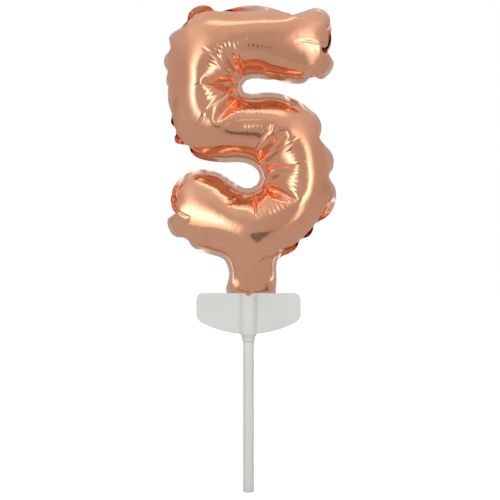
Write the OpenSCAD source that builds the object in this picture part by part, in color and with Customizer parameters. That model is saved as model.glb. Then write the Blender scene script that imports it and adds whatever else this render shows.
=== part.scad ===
// A small foil balloon in the shape of the digit five, on a stick that is pushed into a cake.
// Millimetres, +Z up, front towards -Y. The origin is the centre of the stick's lower end.

/* [Stick] */
// Outside diameter of the hollow stick
stick_d = 5; // [4.2:0.1:6]
// Wall of the hollow stick
stick_wall = 0.5; // [0.3:0.1:0.8]
// Length of stick that shows below the holder
stick_free_length = 68.2; // [50.2:1:140.2]
// Length of stick inside the holder's socket
socket_depth = 12.6; // [10:0.2:14]

/* [Holder] */
// Width of the holder across its two wings
holder_width = 47.4; // [40:0.5:60]
// Height of the holder's wings at the middle
wing_height = 18.6; // [17:0.2:24]
// Height of the collar below the wings
collar_height = 3.4; // [2.5:0.1:5]
// Thickness of one half of the holder at its wings
wing_thickness = 0.9; // [0.8:0.05:1.5]
// Radius of the wings' upper corners
corner_r = 3.2; // [2:0.2:5]
// Radius of the wings' lower corners
lower_corner_r = 2.4; // [1.5:0.1:3.5]
// Radius of the curved lower edge of the wings
lower_edge_r = 46; // [40:1:70]
// Wall round the socket inside the bulge
bulge_wall = 1.35; // [1.1:0.05:1.8]
// Wall of the collar at its lower end
collar_wall = 0.5; // [0.4:0.05:0.9]
// Width of the notch in the front half's upper edge
notch_width = 3.9; // [2:0.1:5]

/* [Balloon] */
// Width of the digit, seam included
digit_width = 77.3; // [70:0.5:100]
// Height of the digit, seam included
digit_height = 112.7; // [105:0.5:145]
// Radius of the blown-up stroke
stroke_r = 14.2; // [12:0.1:15]
// Width of the sealed seam round the balloon
seam_width = 2.2; // [1:0.1:2.6]
// Wall that stands in for the foil
foil_wall = 0.2; // [0.16:0.02:0.4]
// Length of neck between the holder and the digit
neck_length = 16.6; // [14:0.2:20]
// Width of the neck where it enters the holder, seam left out
neck_width = 18; // [14:0.5:24]
// How far the neck stands to the right of the stick
neck_shift = 1.7; // [0:0.1:3]
// Length of tail gripped by the holder
tail_length = 8; // [6:0.2:8.4]

/* [Valve] */
// Width of the two valve films
valve_width = 9; // [6:0.5:12]
// Length of the valve films
valve_length = 26; // [18:1:40]
// Thickness of one valve film
valve_thickness = 0.1; // [0.08:0.02:0.15]

/* [Hidden] */
$fn = 64;

ball_fn = 24;              // sides of the balls that the balloon is built from
eps = 0.01;                // small step that makes two solids overlap
socket_gap = 0.03;         // radial clearance of the stick in its socket
spigot_step = 0.2;         // how much thinner the stick is inside the socket
spigot_start = 0.2;        // how far below the collar the thinner end begins
adhesive_thickness = 0.1;  // one strip of adhesive
hinge_gap = 0.4;           // height of the gap where the neck nods
hinge_half = 0.2;          // half of the flat hollow in the neck at the hinge
sheet_gap = 0.05;          // half of the gap between the two layers of the tail
notch_depth = 1.5;         // depth of the notch

stick_r = stick_d / 2;
spigot_r = stick_r - spigot_step;
socket_r = spigot_r + socket_gap;
ledge_r = socket_r - stick_wall;
bulge_r = socket_r + bulge_wall;
collar_r = socket_r + collar_wall;
wing_bottom = stick_free_length + collar_height;
holder_top = wing_bottom + wing_height;
stick_length = stick_free_length + socket_depth;
pocket_depth = sheet_gap + foil_wall + adhesive_thickness;
tail_top = holder_top + 0.8;
tail_bottom = holder_top - tail_length;
tail_width = neck_width + 2 * seam_width;
neck_bottom = tail_top + hinge_gap;
digit_bottom = holder_top + neck_length;

// Balls along the digit's stroke: share of the width from the middle, share of the height
// from the bottom, share of the stroke's radius. Each row is wrapped into one stretch.
stretches = [
  [[0.365, 0.90, 0.58], [0.365, 0.80, 0.58], [0.26, 0.865, 0.95]],
  [[0.26, 0.865, 0.95], [0.07, 0.865, 0.95]],
  [[0.07, 0.865, 0.95], [-0.265, 0.84, 0.97], [-0.33, 0.895, 0.52]],
  [[-0.265, 0.84, 0.97], [-0.265, 0.56, 0.97]],
  [[-0.265, 0.56, 0.97], [-0.34, 0.48, 0.45], [-0.16, 0.535, 0.98]],
  [[-0.16, 0.535, 0.98], [0.02, 0.53, 0.98]],
  [[0.02, 0.53, 0.98], [0.16, 0.49, 0.98]],
  [[0.16, 0.49, 0.98], [0.25, 0.42, 0.98]],
  [[0.25, 0.42, 0.98], [0.285, 0.34, 0.98]],
  [[0.285, 0.34, 0.98], [0.265, 0.25, 0.98]],
  [[0.265, 0.25, 0.98], [0.17, 0.17, 0.98]],
  [[0.17, 0.17, 0.98], [0.01, 0.145, 0.98]],
  [[0.01, 0.145, 0.98], [-0.14, 0.165, 0.98]],
  [[-0.14, 0.165, 0.98], [-0.25, 0.195, 0.96], [-0.37, 0.21, 0.5]]];
digit_shift = 0.7;         // how far the digit's middle stands to the right of the stick
neck_ball_r = 8.5;         // ball where the neck opens into the digit
neck_ball_rise = 4.5;      // height of that ball's centre above the digit's bottom

// Centre of a ball in the row frame
function ball_x(b) = digit_shift + b[0] * digit_width;
function ball_z(b) = digit_bottom + b[1] * digit_height;

// The blown-up body, all its walls moved inwards by `inset`
module blown(inset) {
  for (row = stretches)
    hull() for (b = row)
      translate([ball_x(b), 0, ball_z(b)])
        sphere(r = b[2] * stroke_r - inset, $fn = ball_fn);
  hull() {
    translate([neck_shift, 0, digit_bottom + neck_ball_rise])
      sphere(r = neck_ball_r - inset, $fn = ball_fn);
    translate([neck_shift, 0, neck_bottom + 0.3])
      cube([neck_width - 2 * inset, 2 * (hinge_half + foil_wall - inset), 0.6], center = true);
  }
}

// The blown-up body's outline in the seam's plane
module outline() {
  for (row = stretches)
    hull() for (b = row)
      translate([ball_x(b), ball_z(b)])
        rotate(180 / ball_fn) circle(r = b[2] * stroke_r, $fn = ball_fn);
  hull() {
    translate([neck_shift, digit_bottom + neck_ball_rise])
      rotate(180 / ball_fn) circle(r = neck_ball_r, $fn = ball_fn);
    translate([neck_shift, neck_bottom + 0.3]) square([neck_width, 0.6], center = true);
  }
}

// The flat sealed seam of one foil, on the back of the plane y = 0
module seam() {
  rotate([90, 0, 0]) linear_extrude(foil_wall) difference() {
    intersection() {
      offset(r = seam_width, $fn = ball_fn) outline();
      translate([-digit_width, neck_bottom]) square([2 * digit_width, 2 * digit_height]);
    }
    offset(delta = -foil_wall / 2) outline();
    translate([neck_shift, neck_bottom]) square([neck_width - 1, 1.3], center = true);
  }
}

// One foil of the balloon: the front half of a thin blown-up skin, with its seam
module foil() {
  intersection() {
    difference() {
      blown(0);
      blown(foil_wall);
      translate([-digit_width, -digit_width, neck_bottom - 2])
        cube([2 * digit_width, 2 * digit_width, 2 + eps]);
    }
    translate([-digit_width, -digit_width, 0])
      cube([2 * digit_width, digit_width, 2 * digit_height + digit_bottom]);
  }
  seam();
}

module front_foil() color([0.80, 0.56, 0.45]) foil();

module back_foil() color([0.80, 0.56, 0.45]) mirror([0, 1, 0]) foil();

// One layer of the flat tail, with its front face at y = -(sheet_gap + foil_wall)
module tail_layer() {
  translate([neck_shift - tail_width / 2, -sheet_gap - foil_wall, tail_bottom])
    cube([tail_width, foil_wall, tail_top - tail_bottom]);
}

module front_foil_tail() color([0.80, 0.56, 0.45]) tail_layer();

module back_foil_tail() color([0.80, 0.56, 0.45]) mirror([0, 1, 0]) tail_layer();

// One valve film, standing inside the neck from the hinge upwards
module valve_film() {
  translate([neck_shift - valve_width / 2, -valve_thickness, neck_bottom])
    cube([valve_width, valve_thickness, valve_length]);
}

module valve_front_film() color([0.85, 0.88, 0.90, 0.5]) valve_film();

module valve_back_film() color([0.85, 0.88, 0.90, 0.5]) mirror([0, 1, 0]) valve_film();

// A strip of adhesive between the tail and the floor of the holder's pocket
module adhesive_strip() {
  translate([neck_shift - tail_width / 2 + 0.5, -pocket_depth, tail_bottom + 0.5])
    cube([tail_width - 1, adhesive_thickness, holder_top - tail_bottom - 1.6]);
}

module front_adhesive() color([0.90, 0.90, 0.86]) adhesive_strip();

module back_adhesive() color([0.90, 0.90, 0.86]) mirror([0, 1, 0]) adhesive_strip();

// The wings' outline: straight top and sides, curved lower edge, all four corners rounded
module wing_outline() {
  half = holder_width / 2;
  edge_centre = wing_bottom + lower_edge_r;
  low_x = half - lower_corner_r;
  wedge_x = 2 * (low_x - 0.3);
  low_z = edge_centre - sqrt(pow(lower_edge_r - lower_corner_r, 2) - low_x * low_x);
  top_x = half - corner_r;
  top_z = holder_top - corner_r;
  for (side = [-1, 1]) {
    translate([side * low_x, low_z]) circle(r = lower_corner_r);
    translate([side * top_x, top_z]) circle(r = corner_r);
  }
  translate([-half, low_z]) square([holder_width, top_z - low_z]);
  translate([-top_x, low_z]) square([2 * top_x, holder_top - low_z]);
  intersection() {
    translate([0, edge_centre]) circle(r = lower_edge_r, $fn = 180);
    polygon([[0, edge_centre], [-wedge_x, 2 * low_z - edge_centre],
             [wedge_x, 2 * low_z - edge_centre]]);
    translate([-half, wing_bottom - 1]) square([holder_width, low_z - wing_bottom + 1 + eps]);
  }
}

// Bulge round the socket and the collar below it, as one turned solid
module socket_body() {
  flare_r = bulge_r - collar_r;
  translate([0, 0, stick_free_length]) rotate_extrude() {
    square([collar_r, collar_height + 1]);
    translate([0, collar_height]) square([bulge_r, wing_height]);
    difference() {
      translate([0, collar_height - flare_r]) square([bulge_r, flare_r + eps]);
      translate([bulge_r, collar_height - flare_r]) circle(r = flare_r);
    }
  }
}

// One half of the holder: wing and half bulge in front of y = 0, with the socket, the pocket
// for the tail and its mouth cut out
module holder_half() {
  difference() {
    union() {
      rotate([90, 0, 0]) linear_extrude(wing_thickness) wing_outline();
      intersection() {
        socket_body();
        translate([-2 * bulge_r, -2 * bulge_r, 0])
          cube([4 * bulge_r, 2 * bulge_r, holder_top]);
      }
    }
    translate([0, 0, stick_free_length - 1]) cylinder(r = socket_r, h = socket_depth + 1);
    translate([0, 0, stick_free_length])
      cylinder(r = ledge_r, h = holder_top - stick_free_length + 1);
    translate([neck_shift - tail_width / 2 - 0.3, -pocket_depth, tail_bottom - 0.3])
      cube([tail_width + 0.6, 2 * pocket_depth, tail_length + 1]);
  }
}

module holder_front() color([0.93, 0.93, 0.91]) difference() {
  holder_half();
  rotate([90, 0, 0]) linear_extrude(2 * bulge_r)
    polygon([[0, holder_top - notch_depth], [notch_width / 2, holder_top + eps],
             [-notch_width / 2, holder_top + eps]]);
}

module holder_back() color([0.93, 0.93, 0.91]) mirror([0, 1, 0]) holder_half();

module stick() color([0.94, 0.94, 0.93]) difference() {
  union() {
    cylinder(r = stick_r, h = stick_free_length - spigot_start);
    cylinder(r = spigot_r, h = stick_length);
  }
  translate([0, 0, -1]) cylinder(r = stick_r - stick_wall, h = stick_length + 2);
}

stick();
holder_front();
holder_back();
front_adhesive();
back_adhesive();
front_foil_tail();
back_foil_tail();
valve_front_film();
valve_back_film();
front_foil();
back_foil();
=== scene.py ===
"""Foil digit balloon on a hollow stick with a two-part winged holder.

The balloon is two flat films cut to the digit, sealed round the edge and blown up by the
script's own membrane solver. The holder and stick are moulded and extruded plastic.
"""
import logging
import math
from dataclasses import dataclass, field
from enum import Enum
from typing import Any, Union

import bpy
import numpy as np
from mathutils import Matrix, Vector
from mathutils.geometry import delaunay_2d_cdt


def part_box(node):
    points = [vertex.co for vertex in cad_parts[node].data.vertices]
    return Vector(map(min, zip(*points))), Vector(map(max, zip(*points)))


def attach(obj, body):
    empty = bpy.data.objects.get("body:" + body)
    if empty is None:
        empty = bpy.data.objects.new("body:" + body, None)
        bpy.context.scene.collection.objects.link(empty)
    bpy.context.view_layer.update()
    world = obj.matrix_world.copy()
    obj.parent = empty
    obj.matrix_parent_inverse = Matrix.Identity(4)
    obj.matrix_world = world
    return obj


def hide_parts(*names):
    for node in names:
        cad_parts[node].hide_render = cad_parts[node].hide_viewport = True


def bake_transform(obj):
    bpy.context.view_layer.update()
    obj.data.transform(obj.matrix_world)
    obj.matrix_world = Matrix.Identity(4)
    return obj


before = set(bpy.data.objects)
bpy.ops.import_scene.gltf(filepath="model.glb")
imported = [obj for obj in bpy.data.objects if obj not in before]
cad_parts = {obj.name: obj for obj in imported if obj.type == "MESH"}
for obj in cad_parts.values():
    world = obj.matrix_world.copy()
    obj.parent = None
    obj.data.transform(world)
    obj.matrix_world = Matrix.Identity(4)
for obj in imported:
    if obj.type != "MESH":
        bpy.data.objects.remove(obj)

LOG = logging.getLogger("foil_digit")
MM = 0.001
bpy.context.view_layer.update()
Points = tuple[tuple[float, float], ...]
Number = Union[int, float]
Colour = tuple[float, float, float]
TURN = 2 * math.pi
AT_ONCE = 3000


class Slot(Enum):
    """The kinds of material that the pieces are made of."""

    FOIL = "rose_gold_foil"
    VALVE = "valve_film"
    PLASTIC = "white_plastic"
    ADHESIVE = "adhesive"


class Body(Enum):
    """The moving bodies of the part."""

    STICK = "stick"
    HOLDER = "holder"
    BALLOON = "balloon"


# ---------------------------------------------------------------- shader maths


class Wire:
    """One shader socket whose operators add Math nodes."""

    def __init__(self, bench: "Bench", socket: bpy.types.NodeSocket) -> None:
        """Keeps the socket and the bench that it belongs to."""
        self.bench = bench
        self.socket = socket

    def _math(self, operation: str, first: Any, second: Any) -> "Wire":
        """Adds one Math node.

        Args:
            operation: the Math node's operation.
            first: its first value or wire.
            second: its second value or wire.

        Returns:
            The node's result.
        """
        return self.bench.node("ShaderNodeMath", {"operation": operation}, {0: first, 1: second})["Value"]

    def __add__(self, other: Any) -> "Wire":
        """This plus other."""
        return self._math("ADD", self, other)

    def __radd__(self, other: Any) -> "Wire":
        """Other plus this."""
        return self._math("ADD", other, self)

    def __sub__(self, other: Any) -> "Wire":
        """This less other."""
        return self._math("SUBTRACT", self, other)

    def __rsub__(self, other: Any) -> "Wire":
        """Other less this."""
        return self._math("SUBTRACT", other, self)

    def __mul__(self, other: Any) -> "Wire":
        """This times other."""
        return self._math("MULTIPLY", self, other)

    def __rmul__(self, other: Any) -> "Wire":
        """Other times this."""
        return self._math("MULTIPLY", other, self)

    def __truediv__(self, other: Any) -> "Wire":
        """This over other."""
        return self._math("DIVIDE", self, other)

    def __rtruediv__(self, other: Any) -> "Wire":
        """Other over this."""
        return self._math("DIVIDE", other, self)

    def __rpow__(self, other: Any) -> "Wire":
        """Other to the power of this."""
        return self._math("POWER", other, self)

    def sine(self) -> "Wire":
        """The sine of this."""
        return self._math("SINE", self, 0.0)

    def ease(self, low: Number, high: Number, bottom: Number = 0.0, top: Number = 1.0) -> "Wire":
        """A smooth step.

        Args:
            low: where the step starts.
            high: where the step ends.
            bottom: the value before low.
            top: the value after high.

        Returns:
            The eased value, held at its ends.
        """
        settings = {"interpolation_type": "SMOOTHSTEP", "clamp": True}
        values = {0: self, 1: low, 2: high, 3: bottom, 4: top}
        return self.bench.node("ShaderNodeMapRange", settings, values)["Result"]


class Made:
    """A node that has just been added; indexing gives its outputs as wires."""

    def __init__(self, bench: "Bench", node: bpy.types.Node) -> None:
        """Keeps the node and its bench."""
        self.bench = bench
        self.raw = node

    def __getitem__(self, name: Union[str, int]) -> Wire:
        """The output with that name or number, as a wire."""
        return Wire(self.bench, self.raw.outputs[name])


class Bench:
    """Builds one node tree."""

    def __init__(self, tree: bpy.types.NodeTree) -> None:
        """Clears the tree and keeps it."""
        self.tree = tree
        tree.nodes.clear()

    def node(self, kind: str, settings: dict[str, Any] | None = None,
             sockets: dict[Union[str, int], Any] | None = None) -> Made:
        """Adds any node.

        Args:
            kind: the node's type.
            settings: its properties, set first.
            sockets: its inputs, as values or wires.

        Returns:
            The node.
        """
        node = self.tree.nodes.new(kind)
        for name, value in (settings or {}).items():
            setattr(node, name, value)
        for name, value in (sockets or {}).items():
            if isinstance(value, Wire):
                self.tree.links.new(value.socket, node.inputs[name])
            elif isinstance(value, tuple) and len(value) == 3 and node.inputs[name].type == "RGBA":
                node.inputs[name].default_value = (*value, 1.0)
            else:
                node.inputs[name].default_value = value
        return Made(self, node)

    def place(self, stretch: tuple[float, float, float] = (1.0, 1.0, 1.0)) -> Wire:
        """Object coordinates, stretched by three factors."""
        where = self.node("ShaderNodeTexCoord")["Object"]
        return self.node("ShaderNodeMapping", {}, {"Vector": where, "Scale": stretch})["Vector"]

    def noise(self, where: Wire, scale: float, detail: float = 3.0, rough: float = 0.55) -> Wire:
        """Fractal noise from 0 to 1.

        Args:
            where: the coordinates.
            scale: how many features to the metre.
            detail: the number of octaves.
            rough: how strong each octave is.

        Returns:
            The noise.
        """
        values = {"Vector": where, "Scale": scale, "Detail": detail, "Roughness": rough}
        return self.node("ShaderNodeTexNoise", {}, values)[0]

    def attribute(self, name: str) -> Wire:
        """A number that the mesh carries at each point."""
        return self.node("ShaderNodeAttribute", {"attribute_name": name})["Fac"]

    def blend(self, factor: Any, first: Any, second: Any) -> Wire:
        """Mixes two colours by a factor, from the first at 0 to the second at 1."""
        sockets = {0: factor, 6: first, 7: second}
        return self.node("ShaderNodeMix", {"data_type": "RGBA"}, sockets)[2]

    def bump(self, height: Wire, distance: float, strength: float = 1.0, over: Wire | None = None) -> Wire:
        """A bump.

        Args:
            height: the height, from 0 to 1.
            distance: what a height of 1 stands for, in metres.
            strength: the bump's strength.
            over: a normal that this one is laid over.

        Returns:
            The normal.
        """
        sockets: dict[Union[str, int], Any] = {"Height": height, "Distance": distance, "Strength": strength}
        if over is not None:
            sockets["Normal"] = over
        return self.node("ShaderNodeBump", {}, sockets)["Normal"]


@dataclass(frozen=True)
class Finish:
    """What every finish has: a name, a slot and a way to build its material."""

    name: str
    slot: Slot

    def sockets(self, bench: Bench) -> dict[str, Any]:
        """The Principled shader's inputs for this finish."""
        raise NotImplementedError

    def material(self) -> bpy.types.Material:
        """Builds the material once.

        Returns:
            The material, new or already built.
        """
        made = bpy.data.materials.get(self.name)
        if made is None:
            made = bpy.data.materials.new(self.name)
            made.use_nodes = True
            bench = Bench(made.node_tree)
            shader = bench.node("ShaderNodeBsdfPrincipled", {}, self.sockets(bench))
            bench.node("ShaderNodeOutputMaterial", {}, {"Surface": shader["BSDF"]})
        return made


@dataclass(frozen=True)
class RoseGoldFoil(Finish):
    """Metallised film: a cloudy mirror with combed wrinkles and a duller, ribbed heat-sealed edge."""

    name: str = "rose_gold_foil_finish"
    slot: Slot = Slot.FOIL
    bright: Colour = (0.94, 0.485, 0.305)
    deep: Colour = (0.91, 0.43, 0.26)
    seal: Colour = (0.80, 0.56, 0.47)
    seal_width: float = 2.3 * MM
    wrinkle_pitch: float = 1.9 * MM
    wrinkle_depth: float = 0.18 * MM
    rib_pitch: float = 0.9 * MM
    rib_depth: float = 0.05 * MM
    dent_depth: float = 0.30 * MM
    streak_depth: float = 0.06 * MM

    def sockets(self, bench: Bench) -> dict[str, Any]:
        """The foil's inputs, with its wrinkles and ribs laid along the mesh's own attributes.

        Args:
            bench: where the nodes go.

        Returns:
            The Principled shader's inputs by name.
        """
        where = bench.place()
        broad = bench.noise(where, 55.0, 2.0)
        fine = bench.noise(where, 420.0, 4.0, 0.6)
        patch = bench.noise(where, 130.0, 2.0)
        dents = bench.noise(where, 150.0, 3.0)
        streaks = bench.noise(bench.place((0.12, 1.0, 1.0)), 330.0, 3.0)
        edge = bench.attribute("seam_distance")
        sealed = edge.ease(self.seal_width * 0.8, self.seal_width * 1.15, 1.0, 0.0)
        tint = bench.blend(broad.ease(0.35, 0.65), self.deep, self.bright)
        colour = bench.blend(sealed * 0.8, tint, self.seal)
        rough = broad * 0.05 + fine * 0.05 + 0.035 + sealed * 0.2
        phase = bench.attribute("comb_run") * (TURN / self.wrinkle_pitch) + broad * 7.0
        strength = bench.attribute("comb_strength") * patch.ease(0.38, 0.62, 0.15, 1.0)
        wrinkles = (phase.sine() * 0.5 + 0.5) * strength
        ribs = ((bench.attribute("seam_run") * (TURN / self.rib_pitch)).sine() * 0.5 + 0.5) * sealed
        normal = bench.bump(dents, self.dent_depth, 0.35)
        normal = bench.bump(streaks, self.streak_depth, 0.5, normal)
        normal = bench.bump(wrinkles, self.wrinkle_depth, 0.9, normal)
        normal = bench.bump(ribs * 0.6 + fine * 0.4, self.rib_depth, 0.5, normal)
        return {"Base Color": colour, "Metallic": 1.0, "Roughness": rough, "Normal": normal}


@dataclass(frozen=True)
class MouldedPlastic(Finish):
    """White moulded plastic: faint flow marks, satin skin and slightly rubbed spots."""

    name: str = "moulded_plastic_finish"
    slot: Slot = Slot.PLASTIC
    body: Colour = (0.70, 0.706, 0.676)
    shade: Colour = (0.665, 0.67, 0.645)
    stretch: tuple[float, float, float] = (1.0, 1.0, 1.0)
    grain: float = 1900.0

    def sockets(self, bench: Bench) -> dict[str, Any]:
        """The plastic's inputs.

        Args:
            bench: where the nodes go.

        Returns:
            The Principled shader's inputs by name.
        """
        where = bench.place(self.stretch)
        flow = bench.noise(where, 60.0, 3.0)
        skin = bench.noise(where, self.grain, 3.0, 0.6)
        rub = bench.noise(where, 260.0, 4.0, 0.65).ease(0.56, 0.72)
        colour = bench.blend(flow.ease(0.3, 0.7), self.shade, self.body)
        rough = 0.34 + skin * 0.12 + flow * 0.06 + rub * 0.12
        normal = bench.bump(skin + flow * 2.0, 0.02 * MM, 0.6)
        return {"Base Color": colour, "Roughness": rough, "Normal": normal,
                "Subsurface Weight": 0.08, "Subsurface Radius": (0.002, 0.002, 0.002)}


@dataclass(frozen=True)
class ClearFilm(Finish):
    """Thin milky film with fine draw lines."""

    name: str = "valve_film_finish"
    slot: Slot = Slot.VALVE
    tint: Colour = (0.86, 0.87, 0.88)
    haze_tint: Colour = (0.93, 0.94, 0.95)

    def sockets(self, bench: Bench) -> dict[str, Any]:
        """The film's inputs.

        Args:
            bench: where the nodes go.

        Returns:
            The Principled shader's inputs by name.
        """
        lines = bench.noise(bench.place((40.0, 1.0, 1.0)), 90.0, 3.0)
        haze = bench.noise(bench.place(), 220.0, 3.0)
        colour = bench.blend(haze, self.tint, self.haze_tint)
        return {"Base Color": colour, "Roughness": 0.16 + haze * 0.14, "Alpha": 0.42 + lines * 0.16,
                "Normal": bench.bump(lines, 0.03 * MM, 0.5)}


@dataclass(frozen=True)
class TackyStrip(Finish):
    """Double-sided tape: cloudy, with small trapped bubbles."""

    name: str = "adhesive_finish"
    slot: Slot = Slot.ADHESIVE
    tint: Colour = (0.80, 0.79, 0.72)
    cloud_tint: Colour = (0.88, 0.87, 0.82)

    def sockets(self, bench: Bench) -> dict[str, Any]:
        """The tape's inputs.

        Args:
            bench: where the nodes go.

        Returns:
            The Principled shader's inputs by name.
        """
        where = bench.place()
        cloud = bench.noise(where, 300.0, 3.0)
        bubble = bench.noise(where, 1400.0, 2.0).ease(0.6, 0.7)
        colour = bench.blend(cloud, self.tint, self.cloud_tint)
        return {"Base Color": colour, "Roughness": 0.45 + cloud * 0.2 - bubble * 0.2,
                "Normal": bench.bump(cloud + bubble, 0.03 * MM, 0.6)}


# ---------------------------------------------------------------- mesh helpers


def mesh_piece(name: str, points: np.ndarray, faces: np.ndarray, finish: Finish) -> bpy.types.Object:
    """Puts whole arrays into a new smooth-shaded mesh object.

    Args:
        name: the piece's name.
        points: (N, 3) metres.
        faces: (M, 3) or (M, 4) point numbers, anticlockwise from outside.
        finish: its finish.

    Returns:
        The object, linked to the scene.
    """
    count, size = faces.shape
    mesh = bpy.data.meshes.new(name)
    mesh.vertices.add(len(points))
    mesh.vertices.foreach_set("co", points.astype(np.float32).ravel())
    mesh.loops.add(count * size)
    mesh.loops.foreach_set("vertex_index", faces.astype(np.int32).ravel())
    mesh.polygons.add(count)
    mesh.polygons.foreach_set("loop_start", np.arange(count, dtype=np.int32) * size)
    mesh.update(calc_edges=True)
    mesh.validate()
    mesh.polygons.foreach_set("use_smooth", np.ones(count, bool))
    piece = bpy.data.objects.new(name, mesh)
    bpy.context.scene.collection.objects.link(piece)
    mesh.materials.append(finish.material())
    return piece


def lathe(profile: np.ndarray, turns: int) -> tuple[np.ndarray, np.ndarray]:
    """Turns a closed profile round Z: x = r cos a, y = r sin a, z as given.

    Args:
        profile: (N, 2) radius and height, up the outside and down the inside.
        turns: the number of steps round.

    Returns:
        Points and four-sided faces.
    """
    angle = np.arange(turns) * 2 * np.pi / turns
    radius, height = profile[:, :1], profile[:, 1:]
    ring = np.stack([radius * np.cos(angle), radius * np.sin(angle), height + 0 * angle], -1)
    row, col = np.meshgrid(np.arange(len(profile)), np.arange(turns), indexing="ij")
    above, beside = (row + 1) % len(profile), (col + 1) % turns
    faces = np.stack([row * turns + col, row * turns + beside,
                      above * turns + beside, above * turns + col], -1)
    return ring.reshape(-1, 3), faces.reshape(-1, 4)


def cells(number: np.ndarray) -> np.ndarray:
    """The four-sided faces between the points of a grid, from the grid of their numbers."""
    return np.stack([number[:-1, :-1], number[1:, :-1], number[1:, 1:], number[:-1, 1:]], -1).reshape(-1, 4)


# ---------------------------------------------------------------- the foil


@dataclass(frozen=True)
class DigitPattern:
    """Flat cutting pattern of the digit in millimetres, run anticlockwise from the tail's lower right.

    The lean says, by the run along the edge, which way the seam's first ripples tip: 1 to the
    back, -1 to the front.
    """

    tail_right: Points = ((12.7, 82.5), (12.7, 86), (12.6, 89), (12.4, 92), (13.6, 97), (14.8, 102.5))
    belly_right: Points = ((17, 106), (22, 108.4), (28, 113.8), (33.5, 120.7), (38.5, 128.7), (42, 138),
                           (43, 147.5), (42.8, 157), (40.6, 167.5), (38, 176), (33.2, 182.6),
                           (27.7, 188), (21.4, 192.5), (15, 195.4))
    upper_slot: Points = ((9, 197.3), (6.5, 199.5), (7.5, 202.5), (11, 205), (18, 206.5))
    bar: Points = ((27, 208.8), (36, 212.2), (42.4, 217.2), (45.6, 223), (46, 230), (44.5, 238),
                   (40.8, 245.3), (36.5, 250.6), (30, 252.8), (16, 252.4), (2, 250.7), (-9, 248.5),
                   (-21, 245.8), (-28.5, 242), (-34, 236.2))
    stem: Points = ((-39.5, 228.5), (-42.5, 219), (-43.3, 208), (-42.6, 196), (-40.8, 185),
                    (-38.5, 176.8), (-33.7, 170.6), (-27, 165.1), (-18, 161.2), (-9.5, 158.4))
    lower_slot: Points = ((-4, 155.5), (-2, 151.5), (-4, 147.3), (-9, 145.8), (-16, 147.3))
    belly_left: Points = ((-24, 148.5), (-33, 146.7), (-39, 142), (-43.3, 135.5), (-44.6, 127.5),
                          (-43.6, 118.5), (-38.5, 111.3), (-31.5, 107.3), (-22.5, 104.6), (-14, 102.8))
    tail_left: Points = ((-10.8, 100), (-9.2, 97.4), (-9.1, 95.6), (-10.4, 94), (-10.4, 91.5),
                         (-9.6, 89), (-9.5, 86), (-9.5, 82.5))
    lean: Points = ((24, 0), (28, -1), (60, -1), (66, 0.8), (95, 0.8), (99, -1), (128, -0.8), (140, 0),
                    (180, 0), (186, -1), (222, -1), (227, 1), (240, 1), (250, 0.5), (280, 0.5), (288, 1),
                    (322, 1), (333, 0), (366, 0), (372, 1), (390, 1), (398, 0), (430, 0), (436, 1),
                    (457, 1), (461, -1), (505, -0.8), (516, 0))
    knot_steps: int = 12

    def outline(self, step: float) -> np.ndarray:
        """The pattern's edge, as a smooth curve through its points.

        Each stretch between two points is a cubic whose ends run parallel to the chord of the
        neighbouring points; the tail's end is cut straight.

        Args:
            step: the distance between points of the result, in millimetres.

        Returns:
            (N, 2) points.
        """
        knots = np.array(self.tail_right + self.belly_right + self.upper_slot + self.bar + self.stem
                         + self.lower_slot + self.belly_left + self.tail_left, float)
        knots = np.vstack([2 * knots[0] - knots[1], knots, 2 * knots[-1] - knots[-2]])
        before, start, end, after = (knots[k:len(knots) - 3 + k, None] for k in range(4))
        t = np.linspace(0, 1, self.knot_steps, endpoint=False)[None, :, None]
        curve = 0.5 * (2 * start + (end - before) * t + (2 * before - 5 * start + 4 * end - after) * t**2
                       + (3 * start - before - 3 * end + after) * t**3)
        return evenly(np.vstack([curve.reshape(-1, 2), knots[-2:-1]]), step)


def evenly(loop: np.ndarray, step: float) -> np.ndarray:
    """A closed line with its points set at equal steps along it.

    Args:
        loop: (N, 2) points, not repeated at the end.
        step: the distance between points.

    Returns:
        The new points.
    """
    closed = np.vstack([loop, loop[:1]])
    run = np.concatenate([[0.0], np.cumsum(np.linalg.norm(np.diff(closed, axis=0), axis=1))])
    count = max(8, int(round(run[-1] / step)))
    at = np.arange(count) * run[-1] / count
    return np.column_stack([np.interp(at, run, closed[:, 0]), np.interp(at, run, closed[:, 1])])


def against_loop(loop: np.ndarray, points: np.ndarray) -> tuple[np.ndarray, np.ndarray, np.ndarray]:
    """Where points lie against a closed line, by winding number and nearest side.

    Args:
        loop: (N, 2) points of the line.
        points: (M, 2) points to test.

    Returns:
        Whether each is inside, its distance to the line, and its nearest place as a side number
        with a fraction.
    """
    start, end = loop, np.roll(loop, -1, axis=0)
    side = (end - start)[None]
    inside, distance, place = [], [], []
    for chunk in np.array_split(points, max(1, len(points) // AT_ONCE)):
        away = chunk[:, None] - start[None]
        share = np.clip((away * side).sum(-1) / (side * side).sum(-1), 0, 1)
        gap = ((away - share[..., None] * side) ** 2).sum(-1)
        nearest = gap.argmin(1)
        rows = np.arange(len(chunk))
        distance.append(np.sqrt(gap[rows, nearest]))
        place.append(nearest + share[rows, nearest])
        turn = side[..., 0] * away[..., 1] - side[..., 1] * away[..., 0]
        height = chunk[:, 1:2]
        up = (start[None, :, 1] <= height) & (end[None, :, 1] > height) & (turn > 0)
        down = (start[None, :, 1] > height) & (end[None, :, 1] <= height) & (turn < 0)
        inside.append(up.sum(1) != down.sum(1))
    return np.concatenate(inside), np.concatenate(distance), np.concatenate(place)


def gather(index: np.ndarray, values: np.ndarray, size: int) -> np.ndarray:
    """Adds up the rows of values that share an index, into size rows."""
    return np.column_stack([np.bincount(index, values[:, c], size) for c in range(values.shape[1])])


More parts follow.
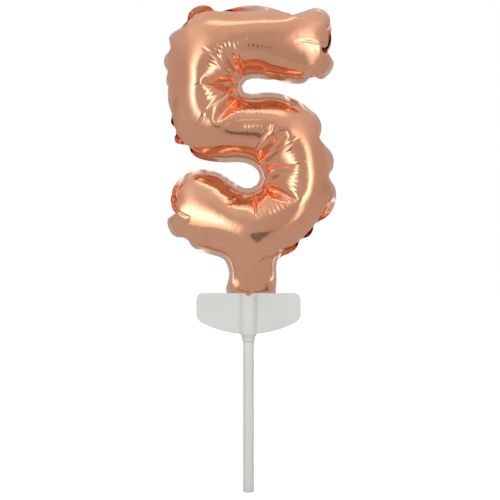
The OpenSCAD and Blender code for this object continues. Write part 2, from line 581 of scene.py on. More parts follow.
def sides_of(faces: np.ndarray) -> np.ndarray:
    """The three sides of each triangle, as (3 M, 2) point numbers with the smaller first."""
    return np.sort(np.vstack([faces[:, [0, 1]], faces[:, [1, 2]], faces[:, [2, 0]]]), axis=1)


def quarter(faces: np.ndarray, which: np.ndarray, count: int) -> np.ndarray:
    """Splits each triangle in four at the middles of its sides.

    Args:
        faces: (M, 3) triangles.
        which: the side number of each row of sides_of(faces).
        count: the number of points, after which the middles are numbered.

    Returns:
        (4, M, 3) triangles.
    """
    a, b, c = faces.T
    ab, bc, ca = count + which.reshape(3, -1)
    parts = ((a, ab, ca), (ab, b, bc), (ca, bc, c), (ab, bc, ca))
    return np.stack([np.column_stack(part) for part in parts])


def loop_subdivide(points: np.ndarray, faces: np.ndarray,
                   extra: np.ndarray) -> tuple[np.ndarray, np.ndarray, np.ndarray]:
    """One step of Loop's smooth subdivision of a triangle mesh with an open edge.

    A new point lies at 3/8 of each end of its side and 1/8 of each opposite corner; an old point
    keeps 5/8 of itself and takes 3/8 of its neighbours' mean. On the open edge the weights are
    1/2 and 1/2, and 3/4 and 1/8 and 1/8.

    Args:
        points: (N, 3) points.
        faces: (M, 3) triangles.
        extra: (N, K) numbers carried at the points, split in the middle of each side.

    Returns:
        New points, triangles and carried numbers.
    """
    count = len(points)
    facing = np.concatenate([faces[:, 2], faces[:, 0], faces[:, 1]])
    edges, which, used = np.unique(sides_of(faces), axis=0, return_inverse=True, return_counts=True)
    which = which.ravel()
    rim = used == 1
    ends = points[edges[:, 0]] + points[edges[:, 1]]
    opposite = gather(which, points[facing], len(edges))
    fresh = np.where(rim[:, None], ends / 2, ends * 3 / 8 + opposite / 8)
    both = np.concatenate([edges[:, 0], edges[:, 1]])
    other = np.concatenate([edges[:, 1], edges[:, 0]])
    degree = np.bincount(both, minlength=count)[:, None]
    mean = gather(both, points[other], count) / degree
    moved = points * 5 / 8 + mean * 3 / 8
    open_edges = edges[rim]
    both = open_edges.ravel()
    other = open_edges[:, ::-1].ravel()
    on_rim = np.zeros(count, bool)
    on_rim[both] = True
    moved[on_rim] = (points * 3 / 4 + gather(both, points[other], count) / 8)[on_rim]
    carried = np.vstack([extra, (extra[edges[:, 0]] + extra[edges[:, 1]]) / 2])
    return np.vstack([moved, fresh]), quarter(faces, which, count).reshape(-1, 3), carried


@dataclass(frozen=True)
class Stage:
    """One spell of blowing up: how many steps, and with what pressure, stiffness and damping."""

    steps: int
    bend: float = 0.0
    beat: float = 0.5
    damp: float = 0.01
    pressure: float = 0.0015
    ramp: int = 1


@dataclass
class Envelope:
    """Two layers of film cut to one pattern and sealed together along the edge, in millimetres.

    The holder grips it below clamp_height. Above that, the neck is stiffer below stiff_top, its
    depth is smoothed below calm_top, and the air's full pressure is reached at neck_top.
    """

    pattern: DigitPattern
    spacing: float = 3.2
    seal: float = 2.3
    parted: float = 0.3
    ripple: float = 0.9
    ripple_pitch: float = 9.6
    clamp_height: float = 91.3
    seal_stiffness: float = 1.5
    seal_bend: float = 4.0
    neck_bend: float = 3.0
    stiff_top: float = 104.0
    stiff_fade: float = 10.0
    calm_top: float = 106.0
    calm_fade: float = 8.0
    calm_share: float = 0.8
    calm_passes: int = 24
    calm_spacing: float = 1.6
    neck_top: float = 120.0
    neck_pressure: float = 0.05
    swell: float = 1.2
    swell_reach: float = 3.0
    hurried: int = 12
    stages: tuple[Stage, ...] = (Stage(1500, bend=0.001, ramp=100), Stage(1100, bend=0.012),
                                 Stage(420, bend=0.03, beat=0.45, damp=0.012))
    flat: np.ndarray = field(default_factory=lambda: np.zeros((0, 3)))
    shape: np.ndarray = field(default_factory=lambda: np.zeros((0, 3)))
    front: np.ndarray = field(default_factory=lambda: np.zeros((0, 3), int))
    back: np.ndarray = field(default_factory=lambda: np.zeros((0, 3), int))

    def cut(self) -> None:
        """Cuts both layers flat, with their sealed points in common.

        The sealed points start on a small ripple, lean times (the sine's size less a half), so that
        the seam's lobes always form in the same places; the loose points start parted.
        """
        step = self.spacing
        edge = self.pattern.outline(step)
        points, faces = self.triangles(edge)
        _, distance, place = against_loop(edge, points)
        sealed = distance < self.seal + 0.15 * step
        count = len(points)
        twin = np.arange(count)
        loose = np.flatnonzero(~sealed)
        twin[loose] = count + np.arange(len(loose))
        self.flat = np.zeros((count + len(loose), 3))
        self.flat[:count, ::2] = points
        self.flat[count:, ::2] = points[loose]
        self.front, self.back = faces, twin[faces][:, ::-1]
        self.shape = self.flat.copy()
        run = place * step
        lean = np.interp(run, *np.array(self.pattern.lean).T)
        ripple = self.ripple * lean * (np.abs(np.sin(np.pi * run / self.ripple_pitch)) - 0.5)
        self.shape[:count, 1] = np.where(sealed, ripple, -self.parted)
        self.shape[count:, 1] = self.parted

    def triangles(self, edge: np.ndarray) -> tuple[np.ndarray, np.ndarray]:
        """One flat layer: a ring along the edge, one at the seal's width, and a lattice inside.

        The lattice's rows stand half the root of three of a step apart and every second one is
        shifted by half a step; Delaunay's rule joins the points.

        Args:
            edge: (N, 2) points of the cut edge.

        Returns:
            (P, 2) points and (M, 3) triangles, anticlockwise.
        """
        step, row = self.spacing, 0.866
        forward = np.roll(edge, -1, 0) - np.roll(edge, 1, 0)
        forward /= np.linalg.norm(forward, axis=1)[:, None]
        inner = evenly(edge + np.column_stack([-forward[:, 1], forward[:, 0]]) * self.seal, step)
        inside, distance, _ = against_loop(edge, inner)
        inner = inner[inside & (distance > self.seal - 0.25 * step)]
        low, high = edge.min(0) - step, edge.max(0) + step
        across, rows = np.meshgrid(np.arange(int((high - low)[0] / step) + 2),
                                   np.arange(int((high - low)[1] / (step * row)) + 2))
        lattice = np.column_stack([(low[0] + (across + 0.5 * (rows % 2)) * step).ravel(),
                                   (low[1] + rows * step * row).ravel()])
        inside, distance, _ = against_loop(edge, lattice)
        lattice = lattice[inside & (distance > self.seal + 0.62 * step)]
        count = len(edge)
        sides = [(k, (k + 1) % count) for k in range(count)]
        corners = [Vector(p) for p in np.vstack([edge, inner, lattice]).tolist()]
        made = delaunay_2d_cdt(corners, sides, [], 0, 1e-6)
        points = np.array([p[:] for p in made[0]])
        faces = np.array([f for f in made[2] if len(f) == 3])
        faces = faces[against_loop(edge, points[faces].mean(1))[0]]
        a, b, c = (points[faces[:, k]] for k in range(3))
        area = (b - a)[:, 0] * (c - a)[:, 1] - (b - a)[:, 1] * (c - a)[:, 0]
        faces[area < 0] = faces[area < 0][:, ::-1]
        faces = faces[np.abs(area) > 2e-4 * step * step]
        return points, faces

    def refine(self) -> None:
        """Splits every triangle of both layers in four at the middles of its sides."""
        faces = np.vstack([self.front, self.back])
        edges, which = np.unique(sides_of(faces), axis=0, return_inverse=True)
        split = quarter(faces, which.ravel(), len(self.flat))
        self.flat = np.vstack([self.flat, self.flat[edges].mean(1)])
        self.shape = np.vstack([self.shape, self.shape[edges].mean(1)])
        kept = len(self.front)
        self.front, self.back = split[:, :kept].reshape(-1, 3), split[:, kept:].reshape(-1, 3)
        self.spacing /= 2

    def blow(self, stage: Stage) -> float:
        """Blows the envelope up with a damped spring net.

        Each side of a triangle pulls in proportion to its stretch, the difference between
        neighbouring points' offsets from their neighbours' mean resists bending, and the air
        pushes each unsealed triangle along its normal, less in the neck, where the valve's films
        lie. The tail is held flat.

        Args:
            stage: the number of steps and the constants.

        Returns:
            The largest remaining stretch.
        """
        total = len(self.flat)
        faces = np.vstack([self.front, self.back])
        layers = [np.bincount(layer.ravel(), minlength=total) > 0 for layer in (self.front, self.back)]
        shared = layers[0] & layers[1]
        pushed = faces[~shared[faces].all(1)]
        edges = np.unique(sides_of(faces), axis=0)
        i, j = edges.T
        both = np.concatenate([i, j])
        degree = np.bincount(both, minlength=total)
        rest = np.linalg.norm(self.flat[j] - self.flat[i], axis=1)
        pull = np.where(shared[edges].all(1), self.seal_stiffness, 1.0)

        def scatter(rows: np.ndarray) -> np.ndarray:
            """Adds each side's row at its first end and takes it away at its second."""
            return gather(both, np.concatenate([rows, -rows]), total)

        height = self.flat[:, 2]
        uneven = scatter(self.flat[j] - self.flat[i]) / degree[:, None]
        uneven = np.linalg.norm(uneven, axis=1) / self.spacing
        weight = np.clip(1 - 4 * uneven, 0, 1) * np.where(shared & (uneven < 0.2), self.seal_bend, 1.0)
        stiffer = 1 + self.neck_bend * np.clip((self.stiff_top - height) / self.stiff_fade, 0, 1)
        weight = np.minimum(weight * stiffer, self.seal_bend)
        free = (height >= self.clamp_height)[:, None]
        shape, speed, air = self.shape, np.zeros_like(self.shape), np.zeros_like(self.shape)
        corners = pushed.ravel()
        climb = self.flat[pushed].mean(1)[:, 2] - self.clamp_height
        climb = np.clip(climb / (self.neck_top - self.clamp_height), 0, 1)
        share = self.neck_pressure + (1 - self.neck_pressure) * climb * climb * (3 - 2 * climb)
        share = (share / 6)[:, None]
        for step in range(stage.steps):
            along = shape[j] - shape[i]
            length = np.sqrt((along * along).sum(1)) + 1e-9
            stretch = length / rest - 1
            force = scatter(along * (pull * rest * stretch / length)[:, None])
            if stage.bend:
                curl = scatter(along) * (weight / degree)[:, None]
                force -= stage.bend * scatter(curl[j] - curl[i])
            if step % 2 == 0:
                a, b, c = (shape[pushed[:, k]] for k in range(3))
                thrust = np.repeat(np.cross(b - a, c - a) * share, 3, axis=0)
                air = gather(corners, thrust, total)
            force += stage.pressure * min(1.0, (step + 1) / stage.ramp) * air
            speed = (speed + stage.beat * force) * (1 - stage.damp) * free
            shape = shape + stage.beat * speed
        self.shape = shape
        self.calm_neck(i, j, degree)
        return float(np.abs(stretch).max())

    def calm_neck(self, i: np.ndarray, j: np.ndarray, degree: np.ndarray) -> None:
        """Smooths the neck's depth just above the holder, where the valve's films keep it even.

        Each pass moves a point's depth most of the way to its neighbours' mean, fading out by the
        neck's top.

        Args:
            i: the first end of each side.
            j: the second end of each side.
            degree: the number of sides at each point.
        """
        height = self.flat[:, 2]
        share = self.calm_share * np.clip((self.calm_top - height) / self.calm_fade, 0, 1)
        share = share * (height >= self.clamp_height)
        depth, total = self.shape[:, 1].copy(), len(height)
        for _ in range(int(self.calm_passes * (self.calm_spacing / self.spacing) ** 2)):
            mean = (np.bincount(i, depth[j], total) + np.bincount(j, depth[i], total)) / degree
            depth += share * (mean - depth)
        self.shape[:, 1] = depth

    def make(self) -> None:
        """Last, the neck swells at once above the holder: depth times (1 + swell times h e^-h), h
        being the height above the holder over its reach.
        """
        self.cut()
        for number, stage in enumerate(self.stages):
            if number:
                self.refine()
            left = self.blow(stage)
            LOG.info("foil stage %d: %d points, stretch %.3f", number, len(self.flat), left)
        rise = np.maximum(self.flat[:, 2] - self.clamp_height, 0) / self.swell_reach
        self.shape[:, 1] *= 1 + self.swell * rise * np.exp(-rise)

    def seam_numbers(self) -> np.ndarray:
        """Each point's distance to the seam's edge and its run along it, both in metres."""
        _, distance, place = against_loop(self.pattern.outline(1.0), self.flat[:, ::2])
        return np.column_stack([distance, place]) * MM

    def flat_size(self) -> tuple[float, float, float]:
        """The cut's width, length and area in metres and square metres."""
        edge = self.pattern.outline(1.0)
        after = np.roll(edge, -1, 0)
        area = 0.5 * abs((edge[:, 0] * after[:, 1] - after[:, 0] * edge[:, 1]).sum())
        width, length = edge.max(0) - edge.min(0)
        return width * MM, length * MM, area * MM * MM


@dataclass(frozen=True)
class Fold:
    """A crease pressed into the foil from a slot's rim towards the stroke's crest, in millimetres."""

    rim: tuple[float, float]
    crest: tuple[float, float]
    depth: float = 0.8
    width: float = 0.5
    shoulder: float = 0.42
    shoulder_width: float = 3.2
    wander: float = 0.25
    wander_rate: float = 7.0
    rim_fade: tuple[float, float] = (-0.12, 0.25)
    crest_fade: tuple[float, float] = (1.05, 0.5)

    def depth_at(self, points: np.ndarray) -> np.ndarray:
        """How deep the crease is at points of the front view.

        The depth falls off with the distance d from a gently wandering line as
        1 / (1 + (d / width)^2), less a broad low shoulder on each side (e to the minus squared
        distance), and eases in at the rim and out at the crest; each fade is a start and a
        length, as shares of the crease.

        Args:
            points: (N, 2) millimetres.

        Returns:
            (N,) depths in millimetres.
        """
        line = np.array(self.crest) - np.array(self.rim)
        length = np.linalg.norm(line)
        away = points - np.array(self.rim)
        along = away @ line / length**2
        across = (away[:, 0] * line[1] - away[:, 1] * line[0]) / length
        across = across + self.wander * np.sin(along * self.wander_rate)
        fade = np.clip((along - self.rim_fade[0]) / self.rim_fade[1], 0, 1)
        fade = fade * np.clip((self.crest_fade[0] - along) / self.crest_fade[1], 0, 1)
        valley = 1 / (1 + (across / self.width) ** 2)
        valley = valley - self.shoulder * np.exp(-((across / (self.shoulder_width * self.width)) ** 2))
        return self.depth * fade * fade * (3 - 2 * fade) * valley


@dataclass(frozen=True)
class SlotFan:
    """Fine wrinkles that fan out round a slot's inner end, in millimetres."""

    centre: tuple[float, float]
    heading: float
    radius: float
    half_band: float
    straight: float

    def at(self, points: np.ndarray) -> np.ndarray:
        """The run along the band and its strength at points of the front view.

        Round the slot's end the run is the angle times the band's radius; along the slot's sides
        it is the distance from the end. The strength is a smooth bump across the band.

        Args:
            points: (N, 2) millimetres.

        Returns:
            (N, 2): the run in metres and the strength from 0 to 1.
        """
        away = points - np.array(self.centre)
        ahead = away[:, 0] * self.heading
        side = np.where(away[:, 1] < 0, -1.0, 1.0)
        angle = np.arctan2(np.clip(-ahead, 0, None), np.abs(away[:, 1]) + 1e-9)
        run = side * (self.radius * (np.pi / 2 - angle) + np.clip(ahead, 0, None))
        gap = np.where(ahead > 0, np.abs(away[:, 1]), np.hypot(away[:, 0], away[:, 1]))
        band = np.clip(1 - np.abs(gap - self.radius) / self.half_band, 0, 1)
        end = np.clip((self.straight - ahead) / 5, 0, 1)
        return np.column_stack([run * MM, band * band * (3 - 2 * band) * end])


@dataclass
class FoilBalloon:
    """The blown-up digit: a front and a back film, and the filling valve's two films in its neck.

    The creases keep clear of the seam by crease_start and reach full depth over crease_fade.
    """

    finish: Finish = field(default_factory=RoseGoldFoil)
    valve_finish: Finish = field(default_factory=ClearFilm)
    envelope: Envelope = field(default_factory=lambda: Envelope(DigitPattern()))
    parting: float = 0.03 * MM
    folds: tuple[Fold, ...] = (
        Fold((-8, 189.5), (-21, 200.5)), Fold((-3.5, 191), (-5.5, 201)), Fold((-7.5, 186), (-25, 183)),
        Fold((-8, 181.5), (-21, 170)), Fold((-20, 170), (-27.5, 160.5), 0.7),
        Fold((4, 155.5), (11.5, 167.5)), Fold((6.5, 150.5), (23.5, 160)), Fold((10, 147), (23, 147.5), 0.8),
        Fold((9.5, 138), (24, 131.5)), Fold((2.5, 135), (4, 122.5)), Fold((-6, 132.5), (-9.5, 129), 0.7),
        Fold((35, 203), (21, 203.5), 0.6), Fold((-34, 128), (-26, 124.5), 0.8),
        Fold((-30, 119), (-26.5, 125), 0.6), Fold((-9, 115), (-6, 108), 0.5))
    fans: tuple[SlotFan, ...] = (SlotFan((-3, 187), heading=1, radius=15.5, half_band=4.5, straight=12),
                                 SlotFan((3.5, 145.5), heading=-1, radius=19, half_band=4.5, straight=10))
    back_press: float = 0.8
    crease_start: float = 2.6
    crease_fade: float = 2.5
    valve_gap: float = 0.045
    valve_wave: float = 0.02
    valve_wall: float = 0.03
    valve_grid: tuple[int, int] = (12, 36)
    valve_least: float = 0.0101
    bend_start: float = 90.3 * MM
    bend_end: float = 93.6 * MM

    def build(self) -> list[bpy.types.Object]:
        """Makes both foils and both valve films.

        Returns:
            The pieces.
        """
        self.envelope.make()
        numbers = self.envelope.seam_numbers()
        return [self.skin("front", self.envelope.front, numbers, 1.0),
                self.skin("back", self.envelope.back, numbers, self.back_press),
                self.valve("front", -1.0), self.valve("back", 1.0)]

    def skin(self, side: str, layer: np.ndarray, numbers: np.ndarray, press: float) -> bpy.types.Object:
        """One foil: a layer of the envelope, smoothed, creased and moved off its partner.

        Args:
            side: front or back.
            layer: the layer's triangles in the envelope.
            numbers: the seam numbers of the envelope's points.
            press: how strongly the folds are pressed in.

        Returns:
            The piece.
        """
        used, faces = np.unique(layer, return_inverse=True)
        faces = faces.reshape(-1, 3)
        points, faces, carried = loop_subdivide(self.envelope.shape[used] * MM, faces, numbers[used])
        a, b, c = (points[faces[:, k]] for k in range(3))
        normals = gather(faces.ravel(), np.repeat(np.cross(b - a, c - a), 3, axis=0), len(points))
        normals /= np.linalg.norm(normals, axis=1)[:, None] + 1e-18
        view = points[:, ::2] / MM
        unsealed = np.clip((carried[:, 0] / MM - self.crease_start) / self.crease_fade, 0, 1)
        depth = np.sum([fold.depth_at(view) for fold in self.folds], axis=0) * press * unsealed
        points = points + normals * (self.parting - depth * MM)[:, None]
        piece = mesh_piece(f"{side}_foil_skin", points, faces, self.finish)
        fans = np.stack([fan.at(view) for fan in self.fans])
        nearest = fans[:, :, 1].argmax(0)
        carried = np.column_stack([carried, fans[nearest, np.arange(len(view))]])
        for column, title in enumerate(("seam_distance", "seam_run", "comb_run", "comb_strength")):
            layer_data = piece.data.attributes.new(title, "FLOAT", "POINT")
            layer_data.data.foreach_set("value", carried[:, column].astype(np.float32))
        width, length, area = self.envelope.flat_size()
        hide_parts(f"{side}_foil", f"{side}_foil_tail")
        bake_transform(piece)
        LOG.info("%s: %d triangles", piece.name, len(faces))
        return piece

    def valve(self, side: str, way: float) -> bpy.types.Object:
        """One valve film: a strip with round corners, offset by a shallow wave.

        The offset is the gap plus the wave's height times the sine of half a turn across times
        the sine of two and a half turns along.

        Args:
            side: front or back.
            way: -1 for the front one, 1 for the back one.

        Returns:
            The piece.
        """
        low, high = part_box(f"valve_{side}_film")
        across, along = self.valve_grid
        u, v = np.meshgrid(np.linspace(0, 1, across + 1), np.linspace(0, 1, along + 1), indexing="ij")
        round_off = 1 - np.clip(np.abs(v - 0.5) * 2 - 0.9, 0, 1)
        x = (low[0] + high[0]) / 2 + (u - 0.5) * (high[0] - low[0]) * round_off
        z = low[2] + v * (high[2] - low[2])
        y = way * (self.valve_gap + self.valve_wave * np.sin(np.pi * u) * np.sin(5 * np.pi * v)) * MM
        points = np.stack([x, y, z], -1).reshape(-1, 3)
        number = np.arange(len(points)).reshape(across + 1, along + 1)
        faces = cells(number)
        piece = mesh_piece(f"valve_{side}_skin", points, faces if way < 0 else faces[:, ::-1],
                           self.valve_finish)
        wall = piece.modifiers.new("film", "SOLIDIFY")
        wall.thickness, wall.offset = self.valve_wall * MM, 0.0
        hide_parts(f"valve_{side}_film")
        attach(piece, Body.BALLOON.value)
        LOG.info("%s: %d faces", piece.name, len(faces))
        return piece


@dataclass
class WingedHolder:
    """The two moulded halves that clip over the stick and grip the balloon's tail, in millimetres."""

    finish: Finish = field(default_factory=MouldedPlastic)
    tape: Finish = field(default_factory=TackyStrip)
    half_width: float = 23.7
    low_end: float = 68.2
    top_edge: float = 90.2
    wall: float = 0.9
    top_corner: float = 3.2
    low_corner: float = 2.4
    edge_radius: float = 46.0
    edge_centre: float = 117.6
    bulge: float = 3.68
    collar: float = 2.83
    flare_reach: float = 4.4
    flare_low: float = 68.9
    flare_high: float = 71.75
    socket: float = 2.33
    throat: float = 1.83
    ledge: float = 80.8
    pocket: tuple[float, float, float] = (-9.8, 13.2, 81.9)
    pocket_depth: float = 0.35
    notch: tuple[float, float] = (1.95, 1.5)
    rim: float = 0.34
    parting: float = 0.035
    least_wall: float = 0.02
    soft_left: float = 0.9
    soft_right: float = 0.3
    columns: int = 120
    middle: float = 4.5
    middle_columns: int = 73
    doubling: float = 0.004
    corner_columns: int = 20
    rows: int = 64
    sharp: float = math.radians(50)

    def outline(self, x: np.ndarray, notched: bool) -> tuple[np.ndarray, np.ndarray]:
        """The half's lower and upper edge above each x.

        The lower edge is an arc about a high centre, rounded up at the ends, with a hollow quarter
        ellipse down to the collar in the middle; the upper edge is straight with round corners.

        Args:
            x: places across the holder.
            notched: whether the upper edge has its small V.

        Returns:
            The lower and the upper height.
        """
        away = np.abs(x)

        def drop(radius: float) -> np.ndarray:
            """How far a round corner of that radius has turned in."""
            over = np.clip(away - (self.half_width - radius), 0, radius)
            return radius - np.sqrt(radius**2 - over**2)

        low = self.edge_centre - np.sqrt(self.edge_radius**2 - x**2) + drop(self.low_corner)
        reach = np.clip((self.flare_reach - away) / (self.flare_reach - self.collar), 0, 1)
        flare = self.flare_low + (self.flare_high - self.flare_low) * np.sqrt(1 - reach**2)
        low = np.where(away < self.flare_reach, np.minimum(low, flare), low)
        low = np.where(away <= self.collar, self.low_end, low)
        high = self.top_edge - drop(self.top_corner)
        if notched:
            high = high - self.notch[1] * np.clip(1 - away / self.notch[0], 0, 1)
        return low, high

    def depth(self, x: np.ndarray, z: np.ndarray) -> np.ndarray:
        """The outer face's distance from the mating plane.

        The wing's flat wall and the round body about the socket, whose radius eases down to the
        collar, are joined by a smooth maximum: soft on the left, tighter on the right.

        Args:
            x: places across.
            z: heights.

        Returns:
            The depths.
        """
        rise = np.clip((z - self.flare_low) / (self.flare_high - self.flare_low), 0, 1)
        radius = self.flare_reach - (self.flare_reach - self.collar) * np.sqrt(1 - rise**2)
        radius = np.minimum(radius, self.bulge)
        body = np.sqrt(np.clip(radius**2 - x**2, 0, None))
        wing = np.where(np.abs(x) > self.collar, self.wall, self.wall * rise)
        soft = np.where(x < 0, self.soft_left, self.soft_right)
        near = np.clip(soft - np.abs(body - wing), 0, None) / soft
        return np.maximum(body, wing) + near**2 * soft / 4

    def hollow(self, x: np.ndarray, z: np.ndarray) -> np.ndarray:
        """The inner face's distance from the mating plane: socket, throat and the tail's pocket.

        The round bore is the root of its radius squared less x squared; the pocket is flat.

        Args:
            x: places across.
            z: heights.

        Returns:
            The depths.
        """
        bore = np.where(z < self.ledge, self.socket, self.throat)
        inside = np.sqrt(np.clip(bore**2 - x**2, 0, None))
        low, high, floor = self.pocket
        return np.maximum(inside, np.where((x > low) & (x < high) & (z > floor), self.pocket_depth, 0.0))

    def shell(self, front: bool) -> tuple[np.ndarray, np.ndarray]:
        """One half as a closed shell of an outer grid, an inner grid and the strip that joins their rims.

        The columns are even, closer in the middle, and doubled at each step of the section; the
        rows close up towards both edges as a cosine does. The outer rim is rounded by a quarter
        circle.

        Args:
            front: the front half, which has the notch.

        Returns:
            Points in metres and four-sided faces.
        """
        steps = [self.pocket[0], self.pocket[1], -self.collar, self.collar, -self.socket, self.socket,
                 -self.throat, self.throat, -self.flare_reach, self.flare_reach]
        turned = np.sin(np.linspace(0, np.pi / 2, self.corner_columns))
        ends = self.half_width - self.top_corner * (1 - turned)
        even = np.linspace(-self.half_width, self.half_width, self.columns)
        close = np.linspace(-self.middle, self.middle, self.middle_columns)
        doubled = [[k - self.doubling, k + self.doubling] for k in steps]
        x = np.unique(np.concatenate([even, ends, -ends, close, *doubled]))
        v = 0.5 - 0.5 * np.cos(np.pi * np.linspace(0, 1, self.rows))
        low, high = self.outline(x, front)
        across = x[:, None] + 0 * v
        height = low[:, None] + (high - low)[:, None] * v
        edge = np.minimum.reduce([height - low[:, None], high[:, None] - height,
                                  self.half_width - np.abs(across)])
        turn = np.clip(1 - edge / self.rim, 0, 1)
        outer = self.depth(across, height)
        outer = outer - np.minimum(self.rim, outer * 0.5) * (1 - np.sqrt(1 - turn**2))
        inner = np.maximum(self.hollow(across, height), self.parting * turn)
        outer = np.maximum(outer, inner + self.least_wall)
        way = -1.0 if front else 1.0
        points = np.concatenate([np.stack([across, way * outer, height], -1).reshape(-1, 3),
                                 np.stack([across, way * inner, height], -1).reshape(-1, 3)]) * MM
        number = np.arange(across.size).reshape(across.shape)
        outside, inside = cells(number), cells(number)[:, ::-1] + number.size
        rim = np.concatenate([number[:-1, 0], number[-1, :-1], number[:0:-1, -1], number[0, :0:-1]])
        after = np.roll(rim, -1)
        strip = np.stack([rim, rim + number.size, after + number.size, after], -1)
        faces = np.concatenate([outside, inside, strip])
        return points, faces if front else faces[:, ::-1]

    def build(self) -> list[bpy.types.Object]:
        """Makes both halves and dresses the tape strips.

        Returns:
            The pieces.
        """
        pieces = []
        for side in ("front", "back"):
            points, faces = self.shell(side == "front")
            shell = mesh_piece(f"holder_{side}_shell", points, faces, self.finish)
            shell.data.set_sharp_from_angle(angle=self.sharp)
            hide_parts(f"holder_{side}")
            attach(shell, Body.HOLDER.value)
            strip = bpy.data.objects[f"{side}_adhesive"]
            for slot in strip.material_slots:
                slot.material = self.tape.material()
            pieces += [shell, strip]
            LOG.info("%s: %d faces", shell.name, len(faces))
        return pieces


@dataclass
class HollowStick:
    """The extruded stick: a tube with a thinner spigot at the top."""

    finish: Finish = field(default_factory=lambda: MouldedPlastic(name="extruded_plastic_finish",
                                                                 stretch=(1.0, 1.0, 0.03), grain=1500.0))
    radius: float = 2.5
    spigot: float = 2.3
    shoulder: float = 68.0
    top: float = 80.8
    bore: float = 2.0
    slope: float = 0.2
    soft: float = 0.12
    turns: int = 72

    def build(self) -> list[bpy.types.Object]:
        """Turns the stick's wall round its axis.

        Returns:
            The stick.
        """
        s = self.soft
        profile = np.array([
            (self.radius - s, 0), (self.radius - 0.3 * s, 0.3 * s), (self.radius, s),
            *[(self.radius, z) for z in np.linspace(4, self.shoulder - 4, 16)],
            (self.radius, self.shoulder), (self.spigot, self.shoulder + self.slope),
            (self.spigot, self.shoulder + 2), (self.spigot, self.top - s),
            (self.spigot - 0.3 * s, self.top - 0.3 * s), (self.spigot - s, self.top),
            (self.bore + 0.5 * s, self.top), (self.bore, self.top - 0.5 * s),
            *[(self.bore, z) for z in np.linspace(self.top - 4, 4, 18)],
            (self.bore, 0.5 * s), (self.bore + 0.5 * s, 0)]) * MM
        points, faces = lathe(profile, self.turns)
        piece = mesh_piece("stick_tube", points, faces, self.finish)
        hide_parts("stick")
        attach(piece, Body.STICK.value)
        LOG.info("%s: %d faces", piece.name, len(faces))
        return [piece]


@dataclass(frozen=True)
class Glow:
    """A soft patch of the room, by its direction's part to the right and its upward part."""

    centre: tuple[float, float]
    spread: tuple[float, float]
    level: float

    def at(self, across: Wire, height: Wire) -> Wire:
        """The patch: e to the minus squared distance from its centre over its spread.

        Args:
            across: the direction's part to the right.
            height: the direction's upward part.

        Returns:
            The patch, from 0 to 1.
        """
        x, z = (across - self.centre[0]) / self.spread[0], (height - self.centre[1]) / self.spread[1]
        return math.e ** ((x * x + z * z) * -1.0)


@dataclass(frozen=True)
class SoftBox:
    """A rectangular soft light that faces the digit, in metres and watts."""

    name: str
    at: tuple[float, float, float]
    size: tuple[float, float]
    power: float

    def build(self, target: tuple[float, float, float]) -> None:
        """Hangs the light and turns it to the target."""
        data = bpy.data.lights.new(self.name, "AREA")
        data.shape, data.size, data.size_y = "RECTANGLE", *self.size
        data.energy = self.power
        light = bpy.data.objects.new(self.name, data)
        light.visible_glossy = False
        bpy.context.scene.collection.objects.link(light)
        light.location = self.at
        light.rotation_euler = (Vector(target) - Vector(self.at)).to_track_quat("-Z", "Y").to_euler()


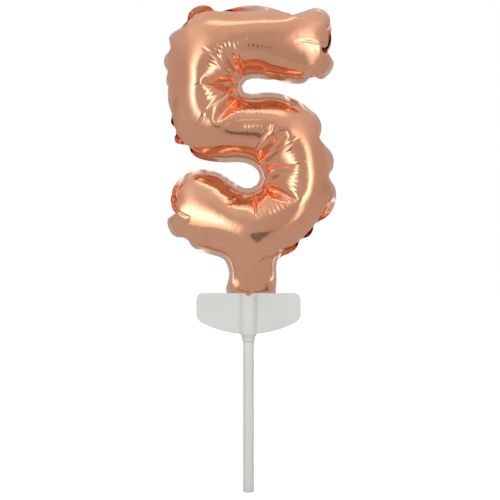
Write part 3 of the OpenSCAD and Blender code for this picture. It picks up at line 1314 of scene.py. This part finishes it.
@dataclass
class Studio:
    """Pale floor, white surroundings, soft boxes and the camera, sizes in metres."""

    frame_width: float = 0.2273
    lens: float = 110.0
    sensor: float = 36.0
    aim: tuple[float, float, float] = (0.0007, 0.0, 0.1098)
    floor_half: float = 3.0
    floor_front: float = -0.16
    floor_level: float = -0.0006
    floor_dark: Colour = (0.55, 0.55, 0.55)
    floor_pale: Colour = (0.59, 0.59, 0.59)
    surround: float = 0.52
    ceiling: float = 0.2
    shade: float = 0.05
    glows: tuple[Glow, ...] = (Glow((-0.55, 0.05), (0.15, 0.42), 2.4), Glow((0.60, 0.0), (0.12, 0.45), 2.3),
                               Glow((0.0, 0.94), (0.75, 0.03), 1.0))
    stand: Glow = Glow((0.0, -0.46), (0.24, 0.13), 0.27)
    boxes: tuple[SoftBox, ...] = (SoftBox("left_box", (-0.9, -0.8, 0.55), (0.35, 0.9), 1.9),
                                  SoftBox("right_box", (0.9, -0.9, 0.35), (0.25, 0.9), 1.5),
                                  SoftBox("top_box", (0.0, -0.5, 1.2), (0.9, 0.4), 2.0),
                                  SoftBox("rear_box", (0.3, 1.2, 0.8), (0.8, 0.8), 1.0))
    box_target: tuple[float, float, float] = (0.0, 0.0, 0.16)

    def camera(self) -> None:
        """Sets the camera level in front, so far off that the frame's width is filled."""
        data = bpy.data.cameras.new("camera")
        data.lens, data.sensor_width = self.lens, self.sensor
        data.clip_start, data.clip_end = 0.01, 20.0
        camera = bpy.data.objects.new("camera", data)
        bpy.context.scene.collection.objects.link(camera)
        away = self.frame_width * self.lens / self.sensor
        camera.location = (self.aim[0], self.aim[1] - away, self.aim[2])
        camera.rotation_euler = (math.pi / 2, 0, 0)
        bpy.context.scene.camera = camera

    def floor(self) -> None:
        """A pale matt table top under the stick's end, whose front edge stands short of the camera."""
        half, front, level = self.floor_half, self.floor_front, self.floor_level
        points = np.array([(-half, front, level), (half, front, level), (half, half, level),
                           (-half, half, level)])
        material = bpy.data.materials.new("floor_finish")
        material.use_nodes = True
        bench = Bench(material.node_tree)
        grain = bench.noise(bench.place(), 300.0, 3.0)
        colour = bench.blend(grain, self.floor_dark, self.floor_pale)
        seen = bench.node("ShaderNodeLightPath")["Is Camera Ray"]
        glow = bench.blend(seen, (0.0, 0.0, 0.0), (1.0, 1.0, 1.0))
        shader = bench.node("ShaderNodeBsdfPrincipled", {}, {"Base Color": colour, "Roughness": 0.9,
                                                             "Emission Color": glow,
                                                             "Emission Strength": 0.75})
        bench.node("ShaderNodeOutputMaterial", {}, {"Surface": shader["BSDF"]})
        mesh = bpy.data.meshes.new("floor")
        mesh.from_pydata(points.tolist(), [], [(0, 1, 2, 3)])
        mesh.materials.append(material)
        floor = bpy.data.objects.new("floor", mesh)
        bpy.context.scene.collection.objects.link(floor)

    def surroundings(self) -> None:
        """A room that is white to look at and a softly banded grey for light and reflections."""
        world = bpy.data.worlds.new("studio")
        world.use_nodes = True
        bpy.context.scene.world = world
        bench = Bench(world.node_tree)
        way = bench.node("ShaderNodeTexCoord")["Generated"]
        parts = bench.node("ShaderNodeSeparateXYZ", {}, {0: way})
        across, depth, height = parts["X"], parts["Y"], parts["Z"]
        facing = (0.0 - depth).ease(0.0, 0.2)
        level = self.surround + height.ease(0.25, 0.95, 0.0, self.ceiling)
        for glow in self.glows:
            level = level + facing * glow.at(across, height) * glow.level
        level = level - (0.0 - height).ease(0.1, 0.6, 0.0, self.shade)
        level = level - facing * self.stand.at(across, height).ease(0.35, 0.5) * self.stand.level
        seen = bench.node("ShaderNodeLightPath")["Is Camera Ray"]
        strength = seen * 1.0 + (1.0 - seen) * level
        light = bench.node("ShaderNodeBackground", {}, {"Color": (1.0, 1.0, 1.0), "Strength": strength})
        bench.node("ShaderNodeOutputWorld", {}, {"Surface": light["Background"]})

    def build(self) -> None:
        """Sets up the camera, floor, room and lights."""
        self.camera()
        self.floor()
        self.surroundings()
        for box in self.boxes:
            box.build(self.box_target)
        view = bpy.context.scene.view_settings
        view.view_transform, view.look = "Standard", "None"


def main() -> None:
    """Builds the studio and every piece in order, and logs what was made."""
    logging.basicConfig(level=logging.INFO, format="%(message)s")
    Studio().build()
    made = [piece for part in (HollowStick(), WingedHolder(), FoilBalloon()) for piece in part.build()]
    LOG.info("%d pieces: %s", len(made), ", ".join(piece.name for piece in made))


if __name__ == "__main__":
    main()
